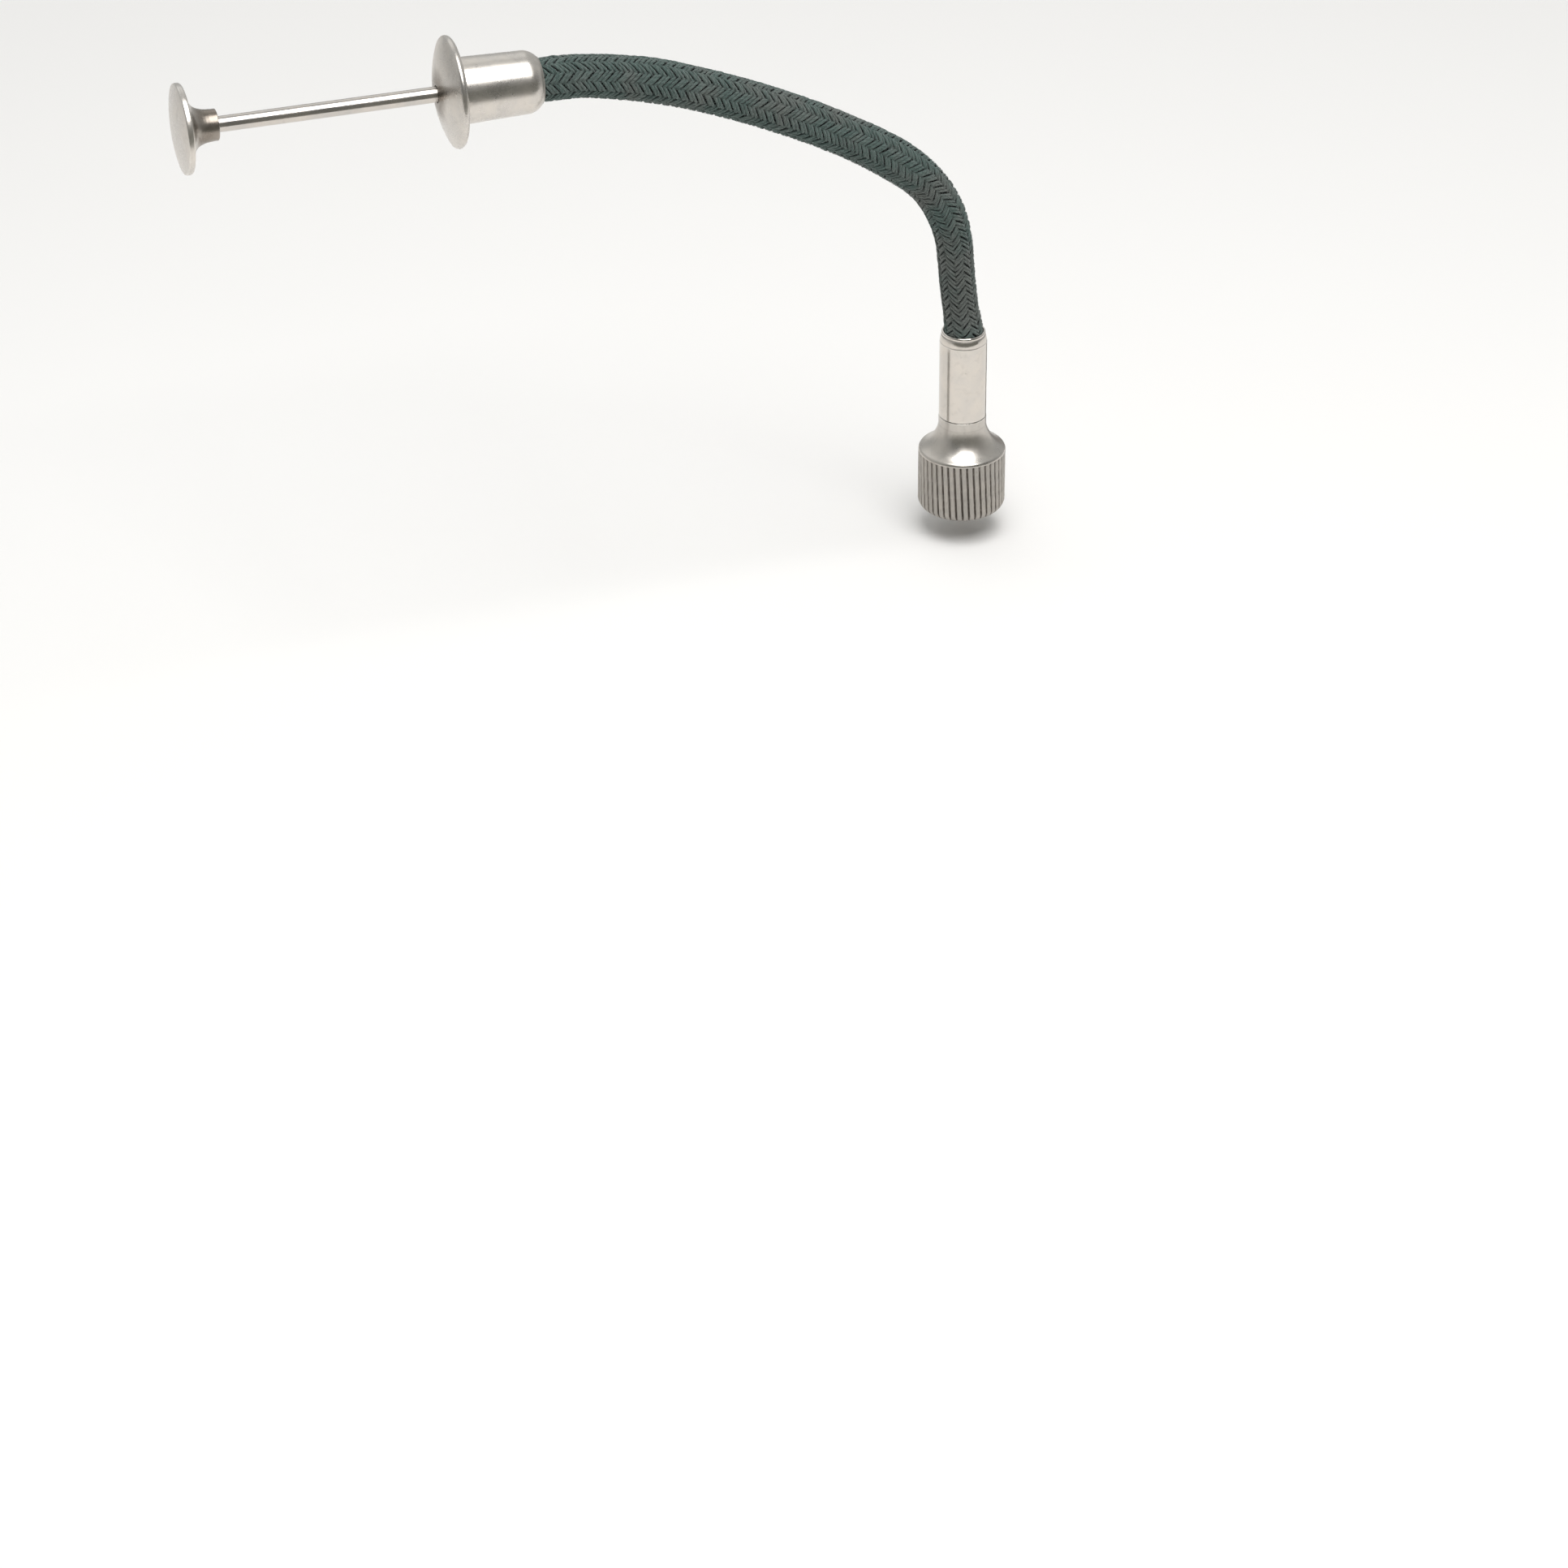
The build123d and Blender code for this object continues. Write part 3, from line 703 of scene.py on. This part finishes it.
def button_outline():
    """Shallow dome with a flat, softly rounded rim, over a hub that flares like a trumpet."""
    collar, back = 1.87, (4.95, 42.55)
    sphere = 22.0
    middle = BUTTON_TOP - sphere
    crown = [
        (sphere * math.sin(lean), middle + sphere * math.cos(lean))
        for lean in np.linspace(0, math.asin(5.12 / sphere), 16)
    ]
    rim = rounded(
        crown[-1], (BUTTON_R - 0.03, middle + math.sqrt(sphere ** 2 - BUTTON_R ** 2), 0.28),
        (BUTTON_R, 42.92), (BUTTON_R - 0.06, 42.60, 0.22), back,
    )
    hub = rounded(
        *conic(back, (2.03, 42.0), (collar, 39.4), 1.7)[1:], (collar, BUTTON_COLLAR, 0.09),
        (0.95, BUTTON_COLLAR, 0.04), (0.95, 42.2), (0, 42.2),
    )
    return crown + rim[1:] + hub


def add_turned():
    """Build the turned pieces; each rides on its body and stands for its CAD node."""
    made = {}
    for name, node, body, slot, place, points in turned_pieces():
        piece = lathe(name, points, place)
        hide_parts(node)
        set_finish(piece, slot)
        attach(piece, body)
        made[name] = piece
    return made


def add_spring():
    """Return spring with closed end turns."""
    low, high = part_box("return_spring")
    piece = open_spring(
        "return_spring_coil", radius=1.28, wire=0.32, turns=7.6, start=low.z / MM, end=high.z / MM,
    )
    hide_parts("return_spring")
    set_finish(piece, "spring_steel")
    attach(piece, "tip_fitting")
    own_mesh(piece)
    return piece


# ---- materials ---------------------------------------------------------------------------
NICKEL_COOL, NICKEL_WARM = (0.60, 0.570, 0.535), (0.68, 0.635, 0.580)
BRIGHT = (0.80, 0.77, 0.72)           # worn edges
# dark tint of grime in folds and pits, also laid as painted shade on the nut's knurled skirt
GRIME_AND_SHADE = (0.055, 0.040, 0.027)
STAIN_BROWN = (0.150, 0.118, 0.088)
STAIN_RADII = (0.0015, 0.0038)        # from full stain to none
STAIN_RAGGED = 0.0022                 # how far its border wanders
STAIN_FROM_FACE = (0.0010, 0.0018)    # behind the button's face, where it starts and is full
SMOOTHEST = 0.06
LINES_STRETCH = {"X": (6.0, 0.35, 0.35), "Z": (0.35, 0.35, 6.0)}    # turning marks round either axis
GRUBBY_BELOW = (0.026, 0.052)         # height of the braid's dirtiest and of its clean part


class Tree:
    """Small helper that adds nodes to a material and links sockets given as inputs."""

    def __init__(self, name):
        self.material = bpy.data.materials.new(name)
        self.material.use_nodes = True
        self.tree = self.material.node_tree
        self.tree.nodes.clear()
        output = self.tree.nodes.new("ShaderNodeOutputMaterial")
        self.shader = self.tree.nodes.new("ShaderNodeBsdfPrincipled")
        self.tree.links.new(self.shader.outputs[0], output.inputs[0])

    def put(self, socket, value):
        """Link a socket to an input, or set its plain value."""
        if isinstance(value, bpy.types.NodeSocket):
            self.tree.links.new(value, socket)
        else:
            socket.default_value = value

    def node(self, kind, result=0, settings=None, **inputs):
        """Output of a new node with these settings, or all its outputs where result is None. Inputs are
        given by name, or by place as i0, i1 and so on."""
        node = self.tree.nodes.new("ShaderNode" + kind)
        for key, value in (settings or {}).items():
            setattr(node, key, value)
        for key, value in inputs.items():
            by_place = key[0] == "i" and key[1:].isdigit()
            self.put(node.inputs[int(key[1:]) if by_place else key.replace("_", " ")], value)
        return node.outputs if result is None else node.outputs[result]

    def object_place(self):
        """Place on the object, in metres."""
        return self.node("TexCoord", result=3)

    def math(self, operation, a, b=0.0, c=0.0, clamp=False):
        return self.node("Math", settings={"operation": operation, "use_clamp": clamp}, i0=a, i1=b, i2=c)

    def mix(self, factor, a, b):
        """Colour mix of a and b by the factor."""
        node = self.tree.nodes.new("ShaderNodeMix")
        node.data_type = "RGBA"
        for index, value in ((0, factor), (6, a), (7, b)):
            plain = isinstance(value, tuple) and len(value) == 3
            self.put(node.inputs[index], (*value, 1) if plain else value)
        return node.outputs[2]

    def cover(self, colour, mask, share, tint):
        """The colour under a tint, which takes this share of it where the mask is 1."""
        return self.mix(self.math("MULTIPLY", mask, share), colour, tint)

    def span(self, value, low, high, to_low=0.0, to_high=1.0):
        """Value taken from one range to another, with soft ends."""
        return self.node(
            "MapRange", settings={"interpolation_type": "SMOOTHSTEP"},
            i0=value, i1=low, i2=high, i3=to_low, i4=to_high,
        )

    def attribute(self, name):
        return self.node("Attribute", result=2, settings={"attribute_name": name})

    def noise(self, vector, scale, detail=3.0, roughness=0.55, distortion=0.0):
        return self.node(
            "TexNoise", Vector=vector, Scale=scale, Detail=detail, Roughness=roughness,
            Distortion=distortion,
        )

    def bump(self, height, strength, distance, normal=None):
        inputs = {"Strength": strength, "Distance": distance, "Height": height}
        if normal is not None:
            inputs["Normal"] = normal
        return self.node("Bump", **inputs)


def brown_near_axis(t, place, clouds):
    """Mask of the stain on the handle: ragged, near the axis, and none on the button's face."""
    off_axis = t.node("VectorMath", 1, {"operation": "LENGTH"}, i0=t.node(
        "VectorMath", settings={"operation": "MULTIPLY"}, i1=(0, 1, 1),
        i0=t.node("VectorMath", settings={"operation": "SUBTRACT"}, i0=place, i1=(0, 0, HANDLE_Z * MM)),
    ))
    ragged = t.math("ADD", off_axis, t.math("MULTIPLY", t.math("SUBTRACT", clouds, 0.5), STAIN_RAGGED))
    along = t.node("SeparateXYZ", i0=place)
    face = (MOUTH_X - BUTTON_TOP) * MM
    inboard = t.span(along, face + STAIN_FROM_FACE[0], face + STAIN_FROM_FACE[1])
    return t.math("MULTIPLY", t.span(ragged, *STAIN_RADII, 1.0, 0.0), inboard)


def metal(name, cool, warm, grime, worn, rough, pitted, brushed, axis="Z", stained=0.0):
    """Worn plated or bare metal: clouded tint, fine turning marks, pits, grime in folds, bright edges. The
    fold mask also carries the painted shade on the nut's knurl.
    On the handle, stained darkens it brown near the axis, where the rod comes through."""
    t = Tree(name)
    place = t.object_place()
    clouds = t.noise(place, 330.0, 4.0)
    patches = t.noise(place, 900.0, 5.0, 0.6, 0.8)
    grain = t.noise(place, 5200.0, 4.0, 0.6)
    lines = t.noise(t.node("Mapping", Vector=place, Scale=LINES_STRETCH[axis]), 2600.0, 3.0, 0.6)
    scratch_at = t.node("Mapping", Vector=place, Rotation=(0.5, 0.9, 0.35), Scale=(0.12, 3.0, 3.0))
    scratches = t.span(t.noise(scratch_at, 1300.0, 2.0, 0.5), 0.68, 0.76)
    cells = t.node("TexVoronoi", None, Vector=place, Scale=1700.0)
    lucky = t.math("GREATER_THAN", t.node("SeparateColor", i0=cells["Color"]), 1 - pitted)
    pit_size = t.span(t.noise(place, 800.0, 2.0), 0.3, 0.7, 0.02, 0.085)
    pit = t.math("MULTIPLY", t.math("LESS_THAN", cells["Distance"], pit_size), lucky)

    edge = t.math("MULTIPLY", t.attribute("edge"), t.span(patches, 0.32, 0.6), clamp=True)
    hollow = t.math("MULTIPLY", t.attribute("hollow"), t.span(patches, 0.15, 0.6, 0.55, 1.0), clamp=True)
    colour = t.mix(t.span(clouds, 0.3, 0.72), cool, warm)
    colour = t.cover(colour, t.span(patches, 0.50, 0.75), 0.10, grime)
    colour = t.mix(edge, colour, worn)
    if stained:
        colour = t.cover(colour, brown_near_axis(t, place, clouds), stained, STAIN_BROWN)
    # grime in folds; on the nut's knurled skirt this mask also holds painted shade
    colour = t.cover(colour, hollow, 0.88, grime)
    colour = t.cover(colour, pit, 0.75, tuple(c * 0.45 for c in grime))
    t.put(t.shader.inputs["Base Color"], colour)

    shine = t.math("MULTIPLY_ADD", t.math("SUBTRACT", clouds, 0.5), 0.20, rough)
    for share, value in ((0.14, patches), (0.10, grain)):
        shine = t.math("ADD", shine, t.math("MULTIPLY", t.math("SUBTRACT", value, 0.5), share))
    for share, value in ((0.34, hollow), (0.30, pit), (-0.05, edge), (0.04, scratches)):
        shine = t.math("ADD", shine, t.math("MULTIPLY", value, share))
    t.put(t.shader.inputs["Roughness"], t.math("MAXIMUM", shine, SMOOTHEST))
    t.put(t.shader.inputs["Metallic"], t.math("SUBTRACT", 1.0, t.math("MULTIPLY", hollow, 0.45)))

    relief = t.bump(grain, 0.08, 0.000010)
    relief = t.bump(lines, brushed, 0.000016, relief)
    relief = t.bump(t.math("ADD", pit, t.math("MULTIPLY", scratches, 0.02)), 0.22, -0.00002, relief)
    t.put(t.shader.inputs["Normal"], relief)
    return t.material


def cotton():
    """Dark green cotton yarn: two plies twisted together, fine fibres, greyed floats, undersides in painted
    shade.
    """
    t = Tree("braid_cotton_green")
    yarn_at = t.node("SeparateXYZ", None, i0=t.node("TexCoord", result=2))
    around, along = yarn_at[0], yarn_at[1]
    place = t.object_place()
    twist = t.math("ADD", t.math("MULTIPLY", around, 2.0), t.math("MULTIPLY", along, 1.5))
    ply = t.math("SINE", t.math("MULTIPLY", twist, 2 * math.pi))
    slant = t.math("ADD", around, t.math("MULTIPLY", along, 0.55))
    fibre_at = t.node("CombineXYZ", i0=t.math("MULTIPLY", slant, 26.0), i1=t.math("MULTIPLY", along, 1.6))
    fibres = t.noise(fibre_at, 1.0, 4.0, 0.65)
    mottle = t.noise(place, 1500.0, 4.0, 0.6)
    low_down = t.span(t.node("SeparateXYZ", 2, i0=place), *GRUBBY_BELOW, 0.14, 0.0)
    dirt = t.math("ADD", t.noise(place, 170.0, 4.0), low_down)

    colour = t.mix(t.attribute("shade"), (0.048, 0.082, 0.073), (0.082, 0.120, 0.108))
    colour = t.cover(colour, t.span(fibres, 0.40, 0.72), 0.55, (0.165, 0.215, 0.198))
    colour = t.cover(colour, t.span(dirt, 0.46, 0.72), 0.60, (0.150, 0.146, 0.135))
    colour = t.cover(colour, t.span(mottle, 0.50, 0.8), 0.40, (0.200, 0.228, 0.215))
    # painted shade: the deeper a yarn lies in the braid, the darker
    colour = t.mix(t.span(t.attribute("depth"), 0.30, 0.90, 0.0, 0.80), colour, (0.018, 0.026, 0.024))
    t.put(t.shader.inputs["Base Color"], colour)
    t.put(t.shader.inputs["Roughness"], t.span(fibres, 0.2, 0.8, 0.72, 0.95))
    t.shader.inputs["Sheen Weight"].default_value = 0.24
    t.shader.inputs["Sheen Roughness"].default_value = 0.45
    t.shader.inputs["Specular IOR Level"].default_value = 0.28
    relief = t.bump(ply, 0.60, 0.00006)
    relief = t.bump(fibres, 0.80, 0.00006, relief)
    t.put(t.shader.inputs["Normal"], relief)
    return t.material


def paint(pieces, material):
    """Give every piece one material."""
    for piece in pieces:
        piece.data.materials.clear()
        piece.data.materials.append(material)


def add_materials(cable, bell, turned, spring):
    """Make the materials and give one to every piece and every CAD node."""
    # the nut's satin nickel, darker than the handle's: worn nickel, and partly painted shade that stands for
    # a dark surface seen in its reflections
    satin_z = metal(
        "nickel_satin_nut", (0.50, 0.475, 0.44), (0.60, 0.56, 0.51), GRIME_AND_SHADE, BRIGHT,
        rough=0.31, pitted=0.08, brushed=0.12,
    )
    satin_x = metal(
        "nickel_satin_handle", NICKEL_COOL, NICKEL_WARM, GRIME_AND_SHADE, BRIGHT,
        rough=0.29, pitted=0.02, brushed=0.18, axis="X", stained=0.82,
    )
    polished = metal(
        "nickel_polished_ferrule", (0.62, 0.585, 0.545), (0.69, 0.64, 0.58), GRIME_AND_SHADE, BRIGHT,
        rough=0.14, pitted=0.2, brushed=0.08,
    )
    steel_x = metal(
        "steel_rod", (0.56, 0.53, 0.50), (0.64, 0.59, 0.54), GRIME_AND_SHADE, BRIGHT,
        rough=0.20, pitted=0.04, brushed=0.12, axis="X",
    )
    steel_z = metal(
        "steel_pin", (0.62, 0.60, 0.58), (0.70, 0.66, 0.62), GRIME_AND_SHADE, BRIGHT,
        rough=0.14, pitted=0.04, brushed=0.12,
    )
    brass_z = metal(
        "brass_turned", (0.66, 0.50, 0.26), (0.76, 0.58, 0.30), (0.10, 0.06, 0.02), (0.74, 0.60, 0.40),
        rough=0.26, pitted=0.08, brushed=0.30,
    )
    wire = metal(
        "spring_steel_drawn", (0.34, 0.34, 0.35), (0.44, 0.43, 0.42), GRIME_AND_SHADE, BRIGHT,
        rough=0.30, pitted=0.05, brushed=0.10,
    )
    by_slot = {
        "nickel_satin": satin_x, "nickel_polished": polished, "steel_polished": steel_x,
        "brass_bare": brass_z, "spring_steel": wire, "braid_green": cotton(),
    }
    slots = {part["node"]: part["material_slot"] for part in frame["record"]["subparts"]}
    for name, node in frame["nodes"].items():
        paint([node], by_slot[slots[name]])
    paint(cable["braid"], by_slot["braid_green"])
    paint(cable["spring_wire"] + [spring], wire)
    for name, piece in turned.items():
        paint([piece], by_slot[piece["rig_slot"]])
    paint(bell, satin_z)
    paint([turned["pin"]], steel_z)


# ---- stage -------------------------------------------------------------------------------
FLOOR_Z = -0.0035


def add_floor():
    """Large pale floor, just clear of the pin when it is pressed out."""
    bpy.ops.mesh.primitive_plane_add(size=6, location=(0, 0, FLOOR_Z))
    floor = bpy.context.object
    floor.name = "floor"
    t = Tree("pale_floor")
    clouds = t.noise(t.object_place(), 8.0, 4.0)
    t.put(t.shader.inputs["Base Color"], t.mix(clouds, (0.91, 0.895, 0.88), (0.93, 0.917, 0.90)))
    t.shader.inputs["Roughness"].default_value = 0.7
    t.shader.inputs["Specular IOR Level"].default_value = 0.2
    paint([floor], t.material)


def add_light(name, place, target, size, power, colour=(1, 1, 1)):
    """Rectangular soft light that faces its target."""
    data = bpy.data.lights.new(name, "AREA")
    data.shape = "RECTANGLE"
    data.size, data.size_y = size
    data.energy = power
    data.color = colour
    light = bpy.data.objects.new(name, data)
    light.location = place
    light.rotation_euler = (Vector(target) - Vector(place)).to_track_quat("-Z", "Y").to_euler()
    bpy.context.scene.collection.objects.link(light)


def add_flag(name, place, size, toward, grey):
    """Grey card that glows, and that only reflections see, so that bright metal shows its shape. It throws
    no shadow, and its glow is a little lighter at its foot."""
    bpy.ops.mesh.primitive_plane_add(size=1, location=place)
    flag = bpy.context.object
    flag.name = name
    flag.scale = (*size, 1)
    flag.rotation_euler = (Vector(toward) - Vector(place)).to_track_quat("Z", "Y").to_euler()
    for kind in ("camera", "diffuse", "shadow", "transmission", "volume_scatter"):
        setattr(flag, "visible_" + kind, False)
    t = Tree(name)
    height = t.node("SeparateXYZ", 1, i0=t.node("TexCoord", result=0))
    at_foot = tuple(1.15 * g for g in grey)
    # the card's glow, painted a little lighter at its foot
    t.put(t.shader.inputs["Emission Color"], t.mix(t.span(height, 0.0, 1.0), at_foot, grey))
    t.shader.inputs["Emission Strength"].default_value = 1.0
    t.shader.inputs["Base Color"].default_value = (0, 0, 0, 1)
    t.shader.inputs["Specular IOR Level"].default_value = 0.0
    paint([flag], t.material)


def add_world():
    """Pale studio, brighter behind and above the object than in front of it."""
    world = bpy.data.worlds.new("studio")
    world.use_nodes = True
    nodes, links = world.node_tree.nodes, world.node_tree.links
    background = nodes["Background"]
    direction = nodes.new("ShaderNodeTexCoord")
    parts = nodes.new("ShaderNodeSeparateXYZ")
    ramp = nodes.new("ShaderNodeMapRange")
    ramp.interpolation_type = "SMOOTHSTEP"
    links.new(direction.outputs["Generated"], parts.inputs[0])
    links.new(parts.outputs["Y"], ramp.inputs["Value"])
    for key, value in (("From Min", -0.75), ("From Max", 0.30), ("To Min", 0.22), ("To Max", 0.58)):
        ramp.inputs[key].default_value = value
    links.new(ramp.outputs[0], background.inputs["Strength"])
    background.inputs["Color"].default_value = (0.985, 1.0, 0.99, 1)
    bpy.context.scene.world = world


def add_stage():
    """Floor, a softbox high in front, a weak light behind, a wide dark glowing card before the object, a
    small grey glowing one at either side of the nut, and the pale studio round them."""
    add_floor()
    middle = (-0.045, 0, 0.045)
    add_light("high_softbox", (-0.015, -0.185, 0.535), middle, (0.36, 0.44), 2.6)
    add_light("back_fill", (-0.10, 0.50, 0.50), middle, (0.60, 0.40), 0.3)
    add_flag(
        "front_flag", place=(-0.060, -0.150, 0.066), size=(0.56, 0.132),
        toward=(-0.060, 0, 0.066), grey=(0.185, 0.187, 0.170),
    )
    add_flag(
        "edge_flag_left", place=(-0.022, -0.0002, 0.0047), size=(0.005, 0.0165),
        toward=(-0.002, -0.002, 0.0047), grey=(0.42, 0.41, 0.39),
    )
    add_flag(
        "edge_flag_right", place=(0.019, 0.016, 0.0047), size=(0.008, 0.0165),
        toward=(0.002, -0.001, 0.0047), grey=(0.28, 0.27, 0.26),
    )
    add_world()
    bpy.context.scene.view_settings.view_transform = "Standard"


cable_pieces = add_cable()
bell_pieces = add_bell()
turned_made = add_turned()
spring_piece = add_spring()
add_materials(cable_pieces, bell_pieces, turned_made, spring_piece)
add_stage()
